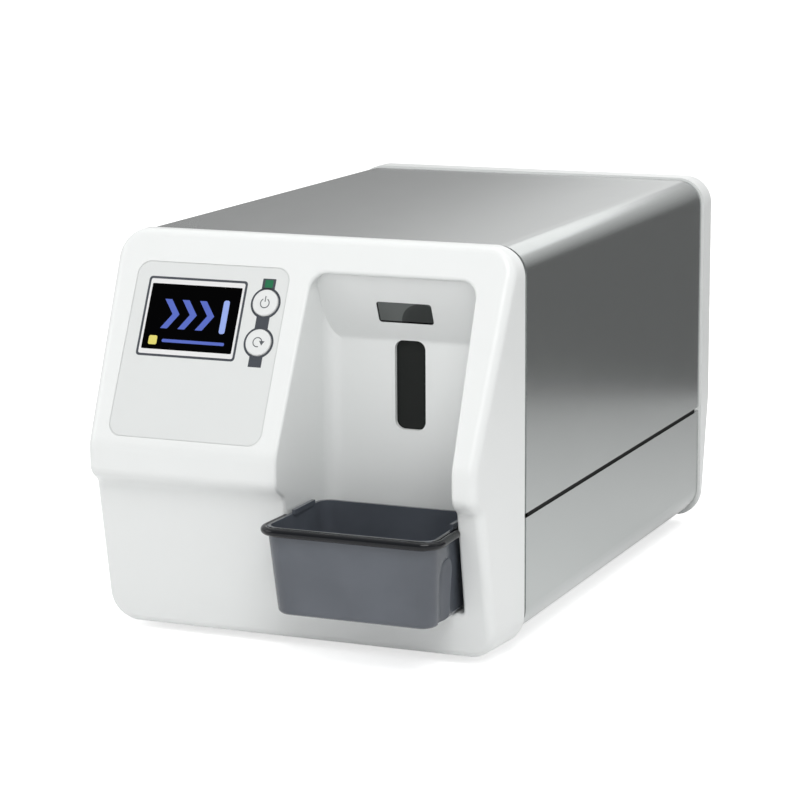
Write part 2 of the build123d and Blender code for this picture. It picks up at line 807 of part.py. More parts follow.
flute_y = front_y - flute_reach
flute_top_z = tray_high_z - flute_drop
flute_shift = flute_radius - flute_depth + tray_flare * (tray_back_y - flute_y)
flute_places = (tray_left + left_run / 2 - flute_shift, tray_right - right_run / 2 + flute_shift)
with BuildPart() as tray_block:
    add(tray_form(0, 0))
    fillet(tray_block.edges().group_by(Axis.Z)[0], tray_base_radius)

with BuildPart() as tray_flutes:
    for x in flute_places:
        rod_z(x, flute_y, (tray_low_z, flute_top_z), flute_radius + tray_wall)
        with Locations((x, flute_y, flute_top_z)):
            Sphere(flute_radius + tray_wall)
    add(tray_block.part, mode=Mode.INTERSECT)

with BuildPart() as tray:
    add(tray_block.part)
    add(tray_form(tray_wall, tray_wall), mode=Mode.SUBTRACT)
    add(tray_flutes.part)
    for x in flute_places:
        rod_z(x, flute_y, (tray_low_z - 5, flute_top_z), flute_radius, Mode.SUBTRACT)
        with Locations((x, flute_y, flute_top_z)):
            Sphere(flute_radius, mode=Mode.SUBTRACT)
    rim_z = tray_high_z - bead_radius
    right_corner, left_corner = tray_corners(-bead_offset, 0)[2:]
    end_y = step_y + tan(radians(lower_lean)) * (step_z - tray_high_z) - run_gap
    narrowing = tray_flare * (end_y - left_corner[1])
    with BuildLine(Plane.XY.offset(rim_z)) as bead_path:
        FilletPolyline(
            (left_corner[0] + narrowing, end_y),
            left_corner,
            right_corner,
            (right_corner[0] - narrowing, end_y),
            radius=tray_corner + bead_offset,
        )
    with BuildSketch(Plane(origin=bead_path.line @ 0, z_dir=bead_path.line % 0)):
        Circle(bead_radius)
    sweep()
    for x in (tray_left, tray_right - tray_wall):
        slab(
            (x, x + tray_wall),
            (front_y - lip_reach[1], front_y - lip_reach[0]),
            (tray_high_z - 0.5, tray_high_z + lip_rise),
        )
write(tray.part, "tray")

# Deck on posts
deck_front_y = front_y + 8
deck_back_y = rear_y - 15
post_places = [(x, y) for x in (-post_x, post_x) for y in (front_y + 18, rear_y - 27)]
with BuildPart() as mechanism_deck:
    slab((-post_x - 10, post_x + 10), (deck_front_y, deck_back_y), (deck_low_z, deck_z))
    slab((-40, 10), (front_y + 218, front_y + 250), (deck_low_z - 1, deck_z + 1), Mode.SUBTRACT)
write(mechanism_deck.part, "mechanism_deck")

with BuildPart() as deck_posts:
    for x, y in post_places:
        rod_z(x, y, (floor_in_z, deck_low_z), 5.0)
write(deck_posts.part, "deck_posts")

# Plate transport: two rods and a lead screw carry the plate from the slot past the scan line
travel_back_y = front_y + 22 + carriage_length + carriage_travel + 5
bearing_front_y = front_y + 11
bearing_width = 2 * (rod_spread + rod_radius + 6)
with BuildPart() as front_bearing_block:
    slab(
        (slot_x - bearing_width / 2, slot_x + bearing_width / 2),
        (bearing_front_y, bearing_front_y + block_depth),
        (deck_z, axis_z + 10),
    )
    for x in (slot_x - rod_spread, slot_x + rod_spread):
        rod_y(x, (bearing_front_y - 1, bearing_front_y + block_depth + 1), axis_z, rod_radius, Mode.SUBTRACT)
    rod_y(
        slot_x,
        (bearing_front_y + 1, bearing_front_y + block_depth + 1),
        axis_z,
        screw_radius + run_gap,
        Mode.SUBTRACT,
    )
write(front_bearing_block.part, "front_bearing_block")

with BuildPart() as rear_bearing_block:
    slab(
        (slot_x - bearing_width / 2, slot_x + bearing_width / 2),
        (travel_back_y, travel_back_y + block_depth),
        (deck_z, axis_z + 10),
    )
    for x in (slot_x - rod_spread, slot_x + rod_spread):
        rod_y(x, (travel_back_y - 1, travel_back_y + block_depth + 1), axis_z, rod_radius, Mode.SUBTRACT)
    rod_y(
        slot_x,
        (travel_back_y - 1, travel_back_y + block_depth + 1),
        axis_z,
        screw_radius + run_gap,
        Mode.SUBTRACT,
    )
write(rear_bearing_block.part, "rear_bearing_block")

with BuildPart() as guide_rods:
    for x in (slot_x - rod_spread, slot_x + rod_spread):
        rod_y(x, (bearing_front_y, travel_back_y + block_depth), axis_z, rod_radius)
write(guide_rods.part, "guide_rods")

coupling_y = travel_back_y + block_depth + 3
coupling_length = 20.0
motor_plate_y = coupling_y + coupling_length + 2
with BuildPart() as lead_screw:
    rod_y(slot_x, (bearing_front_y + 1.2, coupling_y + coupling_length / 2), axis_z, screw_radius)
write(lead_screw.part, "lead_screw")

with BuildPart() as shaft_coupling:
    rod_y(slot_x, (coupling_y, coupling_y + coupling_length), axis_z, 9.5)
    chamfer(shaft_coupling.edges().filter_by(GeomType.CIRCLE), 0.6)
    rod_y(slot_x, (coupling_y - 1, coupling_y + coupling_length / 2), axis_z, screw_radius, Mode.SUBTRACT)
    rod_y(slot_x, (coupling_y, coupling_y + coupling_length + 1), axis_z, 2.5, Mode.SUBTRACT)
write(shaft_coupling.part, "shaft_coupling")

motor_y = motor_plate_y + 3
motor_half = min(17.6, rod_rise - 1)
with BuildPart() as carriage_motor:
    slab(
        (slot_x - motor_half, slot_x + motor_half),
        (motor_y, motor_y + 34),
        (axis_z - motor_half, axis_z + motor_half),
    )
    chamfer(carriage_motor.edges().filter_by(Axis.Y), 3)
    rod_y(slot_x, (motor_y - 1, motor_y + 12), axis_z, 2.5 + run_gap, Mode.SUBTRACT)
write(carriage_motor.part, "carriage_motor")

with BuildPart() as motor_shaft:
    rod_y(slot_x, (coupling_y + coupling_length / 2, motor_y + 11), axis_z, 2.5)
write(motor_shaft.part, "motor_shaft")

with BuildPart() as motor_bracket:
    slab((slot_x - 20, slot_x + 20), (motor_plate_y, motor_y), (deck_z, axis_z + motor_half))
    slab((slot_x - 20, slot_x + 20), (motor_y, motor_y + 34), (deck_z, deck_z + 1))
    rod_y(slot_x, (motor_plate_y - 1, motor_y + 1), axis_z, 5.0, Mode.SUBTRACT)
write(motor_bracket.part, "motor_bracket")

carriage_y = front_y + 22
plate_x = slot_x + 1.2
with BuildPart() as plate_carriage:
    slab(
        (slot_x - 20, slot_x + 20),
        (carriage_y, carriage_y + carriage_length),
        (axis_z - carriage_rise, axis_z + carriage_rise),
    )
    chamfer(plate_carriage.edges().filter_by(Axis.Y), 1.5)
    slab(
        (plate_x, plate_x + 2),
        (carriage_y, carriage_y + 34),
        (axis_z + carriage_rise - 1, axis_z + 14),
    )
    slab(
        (plate_x, plate_x + 2),
        (carriage_y - 8, carriage_y + 34),
        (axis_z + 11, slot_mid_z + slot_height / 2 + 3),
    )
    slab(
        (plate_x - 2, plate_x + 2),
        (carriage_y - 8, carriage_y + 34),
        (slot_mid_z - 17.5 - 3, slot_mid_z - 17.5),
    )
    slab((plate_x - 2, plate_x + 2), (carriage_y + 31.5, carriage_y + 34), (slot_mid_z - 19, slot_mid_z + 12))
    for x in (slot_x - rod_spread, slot_x + rod_spread):
        rod_y(
            x, (carriage_y - 1, carriage_y + carriage_length + 1), axis_z, rod_radius + run_gap, Mode.SUBTRACT
        )
    rod_y(slot_x, (carriage_y - 1, carriage_y + carriage_length + 1), axis_z, 6.5, Mode.SUBTRACT)
write(plate_carriage.part, "plate_carriage")

with BuildPart() as carriage_nut:
    rod_y(slot_x, (carriage_y + 4, carriage_y + carriage_length), axis_z, 6.5)
    rod_y(slot_x, (carriage_y + carriage_length, carriage_y + carriage_length + 2.5), axis_z, 8.4)
    rod_y(
        slot_x,
        (carriage_y - 1, carriage_y + carriage_length + 4),
        axis_z,
        screw_radius + run_gap,
        Mode.SUBTRACT,
    )
write(carriage_nut.part, "carriage_nut")

# Scanner: a laser drops its beam on a spinning polygon that sweeps it down the passing plate
optics_y = scan_y + 19
polygon_z = slot_mid_z
with BuildPart() as optics_bracket:
    slab((-95, tube_x - 12), (optics_y, optics_y + 3), (deck_z, polygon_z + 40))
    slab((-95, -25), (optics_y, optics_y + 22), (deck_z, deck_z + 3))
write(optics_bracket.part, "optics_bracket")

with BuildPart() as polygon_motor:
    rod_y(polygon_x, (scan_y + 5, optics_y), polygon_z, 17.0)
    rod_y(polygon_x, (scan_y + 4, optics_y - 1), polygon_z, 3.0 + run_gap, Mode.SUBTRACT)
write(polygon_motor.part, "polygon_motor")

with BuildPart() as polygon_mirror:
    with BuildSketch(Plane.XZ.offset(4 - scan_y)):
        with Locations((polygon_x, polygon_z)):
            RegularPolygon(polygon_radius, 8)
    extrude(amount=-8)
    rod_y(polygon_x, (scan_y - 6, scan_y - 4), polygon_z, 8.0)
    rod_y(polygon_x, (scan_y + 3, optics_y - 1.5), polygon_z, 3.0)
write(polygon_mirror.part, "polygon_mirror")

laser_x = polygon_x + 10
with BuildPart() as laser_module:
    rod_z(laser_x, scan_y, (polygon_z + 22, polygon_z + 56), 6.0)
    rod_z(laser_x, scan_y, (polygon_z + 21, polygon_z + 30), 3.5, Mode.SUBTRACT)
write(laser_module.part, "laser_module")

with BuildPart() as laser_clamp:
    slab((laser_x - 9, laser_x + 9), (scan_y - 9, optics_y), (polygon_z + 28, polygon_z + 40))
    rod_z(laser_x, scan_y, (polygon_z + 20, polygon_z + 60), 6.0, Mode.SUBTRACT)
write(laser_clamp.part, "laser_clamp")

lens_x = polygon_x + 35
with BuildPart() as scan_lens:
    with BuildSketch(Plane.XZ.offset(5 - scan_y)):
        with Locations((lens_x, polygon_z)):
            Rectangle(8, 52)
        with Locations((lens_x + 26.0, polygon_z)):
            Circle(33)
        with Locations((lens_x, polygon_z)):
            Rectangle(8, 52, mode=Mode.INTERSECT)
        with Locations((lens_x - 3, polygon_z)):
            Rectangle(2, 52)
    extrude(amount=-10)
write(scan_lens.part, "scan_lens")

with BuildPart() as lens_mount:
    slab((lens_x - 9, lens_x + 9), (scan_y - 8, optics_y), (polygon_z - 30, polygon_z - 26))
    slab((lens_x - 9, lens_x + 9), (optics_y - 2, optics_y), (polygon_z - 26, polygon_z + 26))
write(lens_mount.part, "lens_mount")

# Detector: light from the plate runs through a tapered guide into the photomultiplier
tube_y = scan_y + 28
with BuildPart() as light_guide:
    with BuildSketch(Plane.XY.offset(polygon_z - 22)):
        with BuildLine():
            Polyline(
                (slot_x - 5, scan_y + 3),
                (slot_x - 5, scan_y + 7),
                (tube_x + 9, tube_y),
                (tube_x - 9, tube_y),
                (tube_x - 9, tube_y - 4),
                close=True,
            )
        make_face()
    extrude(amount=44)
    with BuildSketch(Plane.YZ.offset(slot_x)):
        with BuildLine():
            Polyline(
                (scan_y - 5, polygon_z - 30),
                (scan_y + 3, polygon_z - 22),
                (tube_y + 1, polygon_z - 9),
                (tube_y + 1, polygon_z + 9),
                (scan_y + 3, polygon_z + 22),
                (scan_y - 5, polygon_z + 30),
                close=True,
            )
        make_face()
    extrude(amount=-slot_x + tube_x - 20, mode=Mode.INTERSECT)
write(light_guide.part, "light_guide")

with BuildPart() as photomultiplier:
    rod_y(tube_x, (tube_y, tube_y + 58), polygon_z, tube_radius)
    chamfer(photomultiplier.edges().filter_by(GeomType.CIRCLE), 1.2)
    rod_y(tube_x, (tube_y + 56, tube_y + 70), polygon_z, tube_radius - 2)
write(photomultiplier.part, "photomultiplier")

with BuildPart() as detector_cradle:
    slab(
        (tube_x - tube_radius - 3, tube_x + tube_radius + 3),
        (tube_y + 20, tube_y + 42),
        (deck_z, polygon_z + 3),
    )
    rod_y(tube_x, (tube_y + 19, tube_y + 43), polygon_z, tube_radius, Mode.SUBTRACT)
    slab(
        (tube_x - tube_radius + 3, tube_x + tube_radius - 3),
        (tube_y + 19, tube_y + 43),
        (deck_z + 5, polygon_z - tube_radius - 5),
        Mode.SUBTRACT,
    )
write(detector_cradle.part, "detector_cradle")

lamp_x = slot_x - 20 - 6.2
lamp_y = (front_y + 135, front_y + 165)
with BuildPart() as lamp_bracket:
    slab((lamp_x, lamp_x + 2), lamp_y, (deck_z, slot_mid_z + 26))
    slab((lamp_x - 6.5, lamp_x + 2), lamp_y, (deck_z, deck_z + 2))
write(lamp_bracket.part, "lamp_bracket")

with BuildPart() as erase_lamp_board:
    slab((lamp_x + 2, lamp_x + 3.6), (lamp_y[0] + 1, lamp_y[1] - 1), (axis_z + 12, slot_mid_z + 25))
    for z in range(6):
        for y in (-8, 0, 8):
            slab(
                (lamp_x + 3.6, lamp_x + 5.2),
                (front_y + 150 + y - 1.7, front_y + 150 + y + 1.7),
                (slot_mid_z - 20 + 8 * z - 1.7, slot_mid_z - 20 + 8 * z + 1.7),
            )
write(erase_lamp_board.part, "erase_lamp_board")

# Electronics under the deck
standoff_top = floor_in_z + 6
with BuildPart() as board_standoffs:
    for x in (-12, 82):
        for y in (66, 224):
            rod_z(x, front_y + y, (floor_in_z, standoff_top), 3.0)
write(board_standoffs.part, "board_standoffs")

with BuildPart() as main_board:
    slab((-20, 90), (front_y + 60, front_y + 230), (standoff_top, standoff_top + board_thick))
    board_z = standoff_top + board_thick
    slab((20, 48), (front_y + 120, front_y + 148), (board_z, board_z + 3))
    slab((56, 76), (front_y + 126, front_y + 140), (board_z, board_z + 2))
    slab((-10, 6), (front_y + 90, front_y + 130), (board_z, board_z + 9))
    slab((20, 70), (front_y + 212, front_y + 222), (board_z, board_z + 11))
    slab((20, 70), (front_y + 66, front_y + 74), (board_z, board_z + 9))
    for y in (160, 176, 192):
        rod_z(-6, front_y + y, (board_z, board_z + 14), 5.0)
write(main_board.part, "main_board")

with BuildPart() as power_supply:
    slab((-90, -32), (front_y + 110, front_y + 240), (floor_in_z, floor_in_z + 36))
    with BuildSketch(Plane.XY.offset(floor_in_z + 37)):
        with Locations((-61, front_y + 175)):
            with GridLocations(1, 9, 1, 10):
                SlotOverall(40, 3.5)
    extrude(amount=-3, mode=Mode.SUBTRACT)
write(power_supply.part, "power_supply")

# Sockets at the back: mains inlet with its rocker switch, and the network jack on its own board
rocker_x = inlet_x + 15
rocker_tilt = 6.0  # at rest it is pressed in on one side
with BuildPart() as mains_inlet:
    slab(
        (inlet_x - inlet_width / 2 + 2.2, inlet_x + inlet_width / 2 - 2.2),
        (rear_face_y - 24, rear_face_y),
        (port_z - inlet_height / 2 + 2.2, port_z + inlet_height / 2 - 2.2),
    )
    slab(
        (inlet_x - inlet_width / 2 - 2, inlet_x + inlet_width / 2 + 2),
        (rear_face_y, rear_face_y + inlet_flange),
        (port_z - inlet_height / 2 - 2, port_z + inlet_height / 2 + 2),
    )
    slab(
        (inlet_x - 20, inlet_x + 4),
        (rear_face_y - 16, rear_face_y + 2),
        (port_z - 8.5, port_z + 8.5),
        Mode.SUBTRACT,
    )
    slab(
        (rocker_x - 6.2, rocker_x + 6.2),
        (rear_face_y - 14, rear_face_y + 2),
        (port_z - 10, port_z + 10),
        Mode.SUBTRACT,
    )
    for x, z in ((-15, -1.5), (-8, 3), (-1, -1.5)):
        slab(
            (inlet_x + x - 1, inlet_x + x + 1),
            (rear_face_y - 17, rear_face_y - 3),
            (port_z + z - 2, port_z + z + 2),
        )
write(mains_inlet.part, "mains_inlet")

rocker_plane = Plane(
    origin=(rocker_x - 6.0, rear_face_y - 4, port_z),
    x_dir=(0, cos(radians(rocker_tilt)), sin(radians(rocker_tilt))),
    z_dir=(1, 0, 0),
)
with BuildPart() as power_rocker:
    with BuildSketch(rocker_plane):
        with BuildLine():
            Polyline(
                (-4, -4),
                (2, -8.2),
                (4.6, -7.6),
                (3.4, 0),
                (4.6, 7.6),
                (2, 8.2),
                (-4, 4),
                close=True,
            )
        make_face()
    extrude(amount=12)
write(power_rocker.part, "power_rocker")

with BuildPart() as port_board:
    slab((port_x - 26, port_x + 26), (rear_frame_y, rear_frame_y + board_thick), (port_z - 16, port_z + 16))
write(port_board.part, "port_board")

with BuildPart() as network_jack:
    slab(
        (port_x - jack_width / 2, port_x + jack_width / 2),
        (rear_frame_y + board_thick, rear_face_y - 0.2),
        (port_z - jack_height / 2, port_z + jack_height / 2),
    )
    slab((port_x - 6, port_x + 6), (rear_face_y - 12, rear_face_y), (port_z - 4.5, port_z + 3), Mode.SUBTRACT)
    slab((port_x - 3, port_x + 3), (rear_face_y - 12, rear_face_y), (port_z + 2, port_z + 5), Mode.SUBTRACT)
write(network_jack.part, "network_jack")
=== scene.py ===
import json
import math

import bpy
from mathutils import Matrix, Vector


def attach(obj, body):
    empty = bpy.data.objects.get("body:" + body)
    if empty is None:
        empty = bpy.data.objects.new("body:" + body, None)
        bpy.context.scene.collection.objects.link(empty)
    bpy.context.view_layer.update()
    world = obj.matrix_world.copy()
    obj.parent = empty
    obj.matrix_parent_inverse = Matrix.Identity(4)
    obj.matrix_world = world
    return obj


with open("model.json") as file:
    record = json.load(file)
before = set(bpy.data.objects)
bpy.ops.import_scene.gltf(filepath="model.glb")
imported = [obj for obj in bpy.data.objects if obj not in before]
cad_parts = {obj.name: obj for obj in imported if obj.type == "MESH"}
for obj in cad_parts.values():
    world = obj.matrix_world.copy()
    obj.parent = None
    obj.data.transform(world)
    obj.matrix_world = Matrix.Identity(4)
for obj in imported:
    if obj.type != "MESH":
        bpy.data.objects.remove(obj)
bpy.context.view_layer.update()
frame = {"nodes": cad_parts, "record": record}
nodes = frame["nodes"]
MM = 0.001

# Places on the object, in millimetres, as the solids have them
FRONT_Y = -116.2
SLOPE = math.radians(25.6)
CREST = Vector((0.0, FRONT_Y - 7.4, 199.9))
LABEL_X = -50.45
LABEL_DROP = 61.3
UP_SLOPE = Vector((0.0, math.sin(SLOPE), math.cos(SLOPE)))
OUT_SLOPE = Vector((0.0, -math.cos(SLOPE), math.sin(SLOPE)))

# Places and sizes on the control face, from the middle of the label
BUTTON_U = 30.9
POWER_V = 26.725
SELECT_V = 6.675
LAMP_V = 36.4
DISPLAY_U = -7.3
DISPLAY_V = 16.75
DISPLAY_SIZES = ((53.9, 40.8, 1.8), (51.5, 38.4, 1.0), (49.2, 33.6, 0.6))
# Grey line round the label's edge: painted shade of the small step where the film meets the face
LABEL_EDGE_SHADE = ((82.3, 89.4, 6.9), (81.6, 88.7, 6.55))
LAMP_SIZES = ((7.0, 5.4, 0.3), (4.2, 3.9, 0.3))
LAMP_RAISE = 0.1  # of the lamp in its frame
RING_OUTER = 7.9
RING_INNER = 6.85
STRIP_CURVE = 7.85  # radius to which the strip's ends are cut, just inside the rings' outer edge
STRIP_HALF = 3.5
STRIP_LOW_V = -5.7
ARC_RADIUS = 2.3
ARC_WIDTH = 0.5
INK = 0.03  # thickness of the ink
FILM = -0.1  # level of the label's film and the window, below the control face
CAP = 0.9  # level of the caps, above the control face

# Levels of the world: off metal and through glass, towards the front and the rear, and as light
SKY_FRONT = 0.35
SKY_REAR = 1.0
SKY_LIGHT = 0.55
SKY_TURN = (-0.7, 0.2)  # from the front to the rear, as the Y of a direction

# Floor: tones, glows, and places in metres
FLOOR_PALE = 0.88
FLOOR_REFLECTED = 0.66  # tone off metal
FLOOR_GLOW = 0.62  # to the camera
FLOOR_SHINE = 0.46  # glow off metal, which fades from the middle to the rear
FLOOR_FADE = 0.45
FLOOR_REACH = 6.0

# The photograph's camera: lens and sensor in millimetres, place in metres, turns in degrees
LENS = 127.93
SENSOR = 36.0
CAMERA_PLACE = (0.57123, -1.36781, 0.38847)
CAMERA_TURNS = (22.94, 11.13, -0.32)


def on_label(u, v, n=0.0):
    """Point of the control face in metres: u to the right, v up the slope, n out of it."""
    p = CREST + UP_SLOPE * (v - LABEL_DROP) + OUT_SLOPE * n
    return Vector((LABEL_X + u, p.y, p.z)) * MM


# Materials


class Shader:
    """A node material around one Principled shader."""

    def __init__(self, name, color, rough, metallic=0.0, **more):
        self.mat = bpy.data.materials.new(name)
        self.mat.use_nodes = True
        self.tree = self.mat.node_tree
        self.bsdf = self.tree.nodes["Principled BSDF"]
        self.bsdf.inputs["Base Color"].default_value = (*color, 1.0)
        self.bsdf.inputs["Roughness"].default_value = rough
        self.bsdf.inputs["Metallic"].default_value = metallic
        for key, value in more.items():
            self.bsdf.inputs[key.replace("_", " ")].default_value = value
        self.coord = self.tree.nodes.new("ShaderNodeTexCoord").outputs["Object"]
        self.color = color
        self.rough = rough

    def node(self, kind, **settings):
        made = self.tree.nodes.new(kind)
        for key, value in settings.items():
            setattr(made, key, value)
        return made

    def link(self, a, b):
        self.tree.links.new(a, b)

    def noise(self, scale, detail=2.0, stretch=(1.0, 1.0, 1.0)):
        """Noise over the object; scale counts features in a metre."""
        place = self.node("ShaderNodeMapping")
        place.inputs["Scale"].default_value = stretch
        self.link(self.coord, place.inputs["Vector"])
        made = self.node("ShaderNodeTexNoise")
        made.inputs["Scale"].default_value = scale
        made.inputs["Detail"].default_value = detail
        self.link(place.outputs["Vector"], made.inputs["Vector"])
        return made.outputs["Fac"]

    def spread(self, value, low, high, start=0.3, end=0.7):
        """Value remapped to a range."""
        made = self.node("ShaderNodeMapRange")
        made.inputs["From Min"].default_value = start
        made.inputs["From Max"].default_value = end
        made.inputs["To Min"].default_value = low
        made.inputs["To Max"].default_value = high
        self.link(value, made.inputs["Value"])
        return made.outputs["Result"]

    def level(self, axis, start, end, low, high):
        """Value that changes along one axis of the object, in metres."""
        parts = self.node("ShaderNodeSeparateXYZ")
        self.link(self.coord, parts.inputs[0])
        return self.spread(parts.outputs[axis], low, high, start, end)

    def join(self, operation, a, b):
        """One value from two."""
        made = self.node("ShaderNodeMath", operation=operation)
        self.link(a, made.inputs[0])
        self.link(b, made.inputs[1])
        return made.outputs[0]

    def blend(self, value, low, high):
        """Base colour between two others, each given as a colour or as a node's output."""
        mix = self.node("ShaderNodeMix", data_type="RGBA")
        for end, given in ((mix.inputs[6], low), (mix.inputs[7], high)):
            if isinstance(given, tuple):
                end.default_value = (*given, 1.0)
            else:
                self.link(given, end)
        self.link(value, mix.inputs[0])
        self.link(mix.outputs[2], self.bsdf.inputs["Base Color"])
        return mix.outputs[2]

    def tint(self, value, low, high):
        """Base colour between two brightnesses of the material's own colour."""
        dark, pale = (tuple(min(1.0, c * share) for c in self.color) for share in (low, high))
        return self.blend(value, dark, pale)

    def roughen(self, value, spread):
        rough = self.spread(value, self.rough - spread, self.rough + spread)
        self.link(rough, self.bsdf.inputs["Roughness"])

    def bump(self, value, height):
        made = self.node("ShaderNodeBump")
        made.inputs["Strength"].default_value = 1.0
        made.inputs["Distance"].default_value = height
        self.link(value, made.inputs["Height"])
        self.link(made.outputs["Normal"], self.bsdf.inputs["Normal"])


def moulded(name, color, rough, grain=0.00002, **more):
    """Moulded plastic: fine spark-eroded grain, faint unevenness of tone and gloss."""
    s = Shader(name, color, rough, **more)
    s.tint(s.spread(s.noise(9, 3), 0.0, 1.0, 0.1, 0.9), 0.985, 1.01)
    s.roughen(s.noise(40, 3), 0.03)
    s.bump(s.noise(1800, 2), grain)
    return s


def metal(name, color, rough, stretch=(1.0, 1.0, 1.0), scale=900, depth=0.000006):
    """Metal with directional or even fine texture."""
    s = Shader(name, color, rough, 1.0)
    s.tint(s.spread(s.noise(scale * 0.4, 3, stretch), 0.0, 1.0), 0.95, 1.03)
    s.roughen(s.noise(scale * 0.6, 3, stretch), 0.05)
    s.bump(s.noise(scale, 2, stretch), depth)
    return s


bezel_white = moulded("bezel_white", (0.828, 0.845, 0.838), 0.32, Coat_Weight=0.15, Coat_Roughness=0.2)
cap_white = moulded("cap_white", (0.76, 0.775, 0.77), 0.3, 0.000008)
black_plastic = moulded("black_plastic", (0.018, 0.018, 0.019), 0.42, 0.00002)
rubber_black = moulded("rubber_black", (0.02, 0.02, 0.02), 0.75, 0.00004)
tube_black = moulded("tube_black", (0.02, 0.02, 0.022), 0.45, 0.00003)
chip_black = moulded("chip_black", (0.02, 0.02, 0.02), 0.5, 0.00001)
board_green = moulded("board_green", (0.012, 0.10, 0.04), 0.3, 0.00001)
lamp_green = moulded("lamp_green", (0.02, 0.17, 0.075), 0.3, 0.000004, Specular_IOR_Level=0.3)
shutter_black = moulded("shutter_black", (0.013, 0.015, 0.014), 0.4, 0.00001, Specular_IOR_Level=0.15)
joint_black = moulded("joint_black", (0.006, 0.006, 0.006), 0.6, 0.00001, Specular_IOR_Level=0.1)
window_face = moulded(
    "window_glass", (0.0006, 0.0006, 0.0008), 0.1, 0.0000005, Specular_IOR_Level=0.03
)

ink_slate = moulded("ink_slate", (0.055, 0.062, 0.075), 0.35, 0.000003)
ink_grey = moulded("ink_grey", (0.10, 0.11, 0.12), 0.4, 0.000003)
# Grey of the line round the label's edge, painted shade of its step
painted_edge_shade = moulded("painted_edge_shade", (0.64, 0.656, 0.65), 0.35, 0.000003)
band_white = moulded("band_white", (0.78, 0.78, 0.78), 0.2, 0.000002)
art_blue = moulded("art_blue", (0.09, 0.14, 0.52), 0.15, 0.000001)
art_light = moulded("art_light", (0.30, 0.40, 0.80), 0.15, 0.000001)
art_yellow = moulded("art_yellow", (0.72, 0.64, 0.16), 0.15, 0.000001)

screw_steel = metal("screw_steel", (0.55, 0.55, 0.55), 0.32)
sheet_plain = metal("sheet_plain", (0.56, 0.57, 0.58), 0.38, (0.05, 1.0, 1.0), 1500)
machined_alu = metal("machined_alu", (0.62, 0.62, 0.63), 0.34, (1.0, 0.08, 1.0), 1600)
ground_steel = metal("ground_steel", (0.64, 0.65, 0.66), 0.14, (0.3, 0.02, 0.3), 3000, 0.000001)
brass = metal("brass", (0.60, 0.42, 0.16), 0.25, (1.0, 1.0, 0.1))
mirror_facets = metal("mirror_facets", (0.86, 0.86, 0.87), 0.03, depth=0.0000001)

cover_metal = Shader("cover_metal", (0.415, 0.435, 0.43), 0.21, 0.9)
cover_metal.tint(cover_metal.noise(12, 3), 0.985, 1.015)
cover_metal.roughen(cover_metal.noise(60, 2), 0.008)
label_film = Shader("label_white", (0.725, 0.742, 0.735), 0.3)
label_film.tint(label_film.noise(12, 3), 0.99, 1.01)
clear_optic = Shader("clear_optic", (0.86, 0.88, 0.90), 0.04, IOR=1.49, Transmission_Weight=0.9)
clear_optic.tint(clear_optic.noise(20), 0.98, 1.0)

# Smoke window: a darker quarter disc behind it, a dark line along its left and lower edges, in metres
sensor_smoke = Shader("sensor_glass", (0.12, 0.13, 0.127), 0.1, Specular_IOR_Level=0.2)
flat = sensor_smoke.node("ShaderNodeMapping")
flat.inputs["Scale"].default_value = (1.0, 0.0, 1.086)
sensor_smoke.link(sensor_smoke.coord, flat.inputs["Vector"])
reach = sensor_smoke.node("ShaderNodeVectorMath", operation="DISTANCE")
reach.inputs[1].default_value = (0.0553, 0.0, 0.1731)
sensor_smoke.link(flat.outputs["Vector"], reach.inputs[0])
disc = sensor_smoke.spread(reach.outputs["Value"], 0.0, 1.0, 0.0113, 0.0117)
grey = sensor_smoke.tint(disc, 0.42, 1.0)
inside = sensor_smoke.join(
    "MINIMUM",
    sensor_smoke.level("X", 0.0324, 0.0328, 0.0, 1.0),
    sensor_smoke.level("Z", 0.1603, 0.1606, 0.0, 1.0),
)
sensor_smoke.blend(inside, (0.004, 0.004, 0.004), grey)

# Smoke-grey tray: faintly clouded, its bead darker and less glossy than the walls, from places in metres
tray_smoke = Shader("tray_smoke", (0.098, 0.109, 0.129), 0.13, IOR=1.5)
cloud = tray_smoke.tint(tray_smoke.spread(tray_smoke.noise(30, 3), 0.0, 1.0), 0.78, 1.05)
beyond = tray_smoke.level("X", 0.0017, 0.0023, 1.0, 0.0)
for side in (("X", 0.0866, 0.0872, 0.0, 1.0), ("Y", -0.1882, -0.1876, 1.0, 0.0)):
    beyond = tray_smoke.join("MAXIMUM", beyond, tray_smoke.level(*side))
rim = tray_smoke.join("MINIMUM", tray_smoke.level("Z", 0.0655, 0.0668, 0.0, 1.0), beyond)
tray_smoke.blend(rim, cloud, (0.006, 0.007, 0.009))
gloss = tray_smoke.spread(rim, 0.5, 0.3, 0.0, 1.0)
tray_smoke.link(gloss, tray_smoke.bsdf.inputs["Specular IOR Level"])
tray_smoke.bump(tray_smoke.noise(700, 2), 0.000003)

finishes = {
    "bezel_white": bezel_white,
    "cover_metal": cover_metal,
    "tray_smoke": tray_smoke,
    "label_white": label_film,
    "window_glass": window_face,
    "sensor_glass": sensor_smoke,
    "lcd_dark": chip_black,
    "cap_white": cap_white,
    "lamp_green": lamp_green,
    "rubber_black": rubber_black,
    "screw_steel": screw_steel,
    "sheet_plain": sheet_plain,
    "black_plastic": black_plastic,
    "machined_alu": machined_alu,
    "ground_steel": ground_steel,
    "brass": brass,
    "board_green": board_green,
    "mirror_facets": mirror_facets,
    "clear_optic": clear_optic,
    "tube_black": tube_black,
}
own_finishes = {
    "slot_shutter": shutter_black,
    "shutter_guide": shutter_black,
    "seam_strips": joint_black,
    "front_frame": joint_black,
    "rear_frame": joint_black,
}
for entry in frame["record"]["subparts"]:
    finish = own_finishes.get(entry["node"], finishes[entry["material_slot"]])
    for slot in nodes[entry["node"]].material_slots:
        slot.material = finish.mat
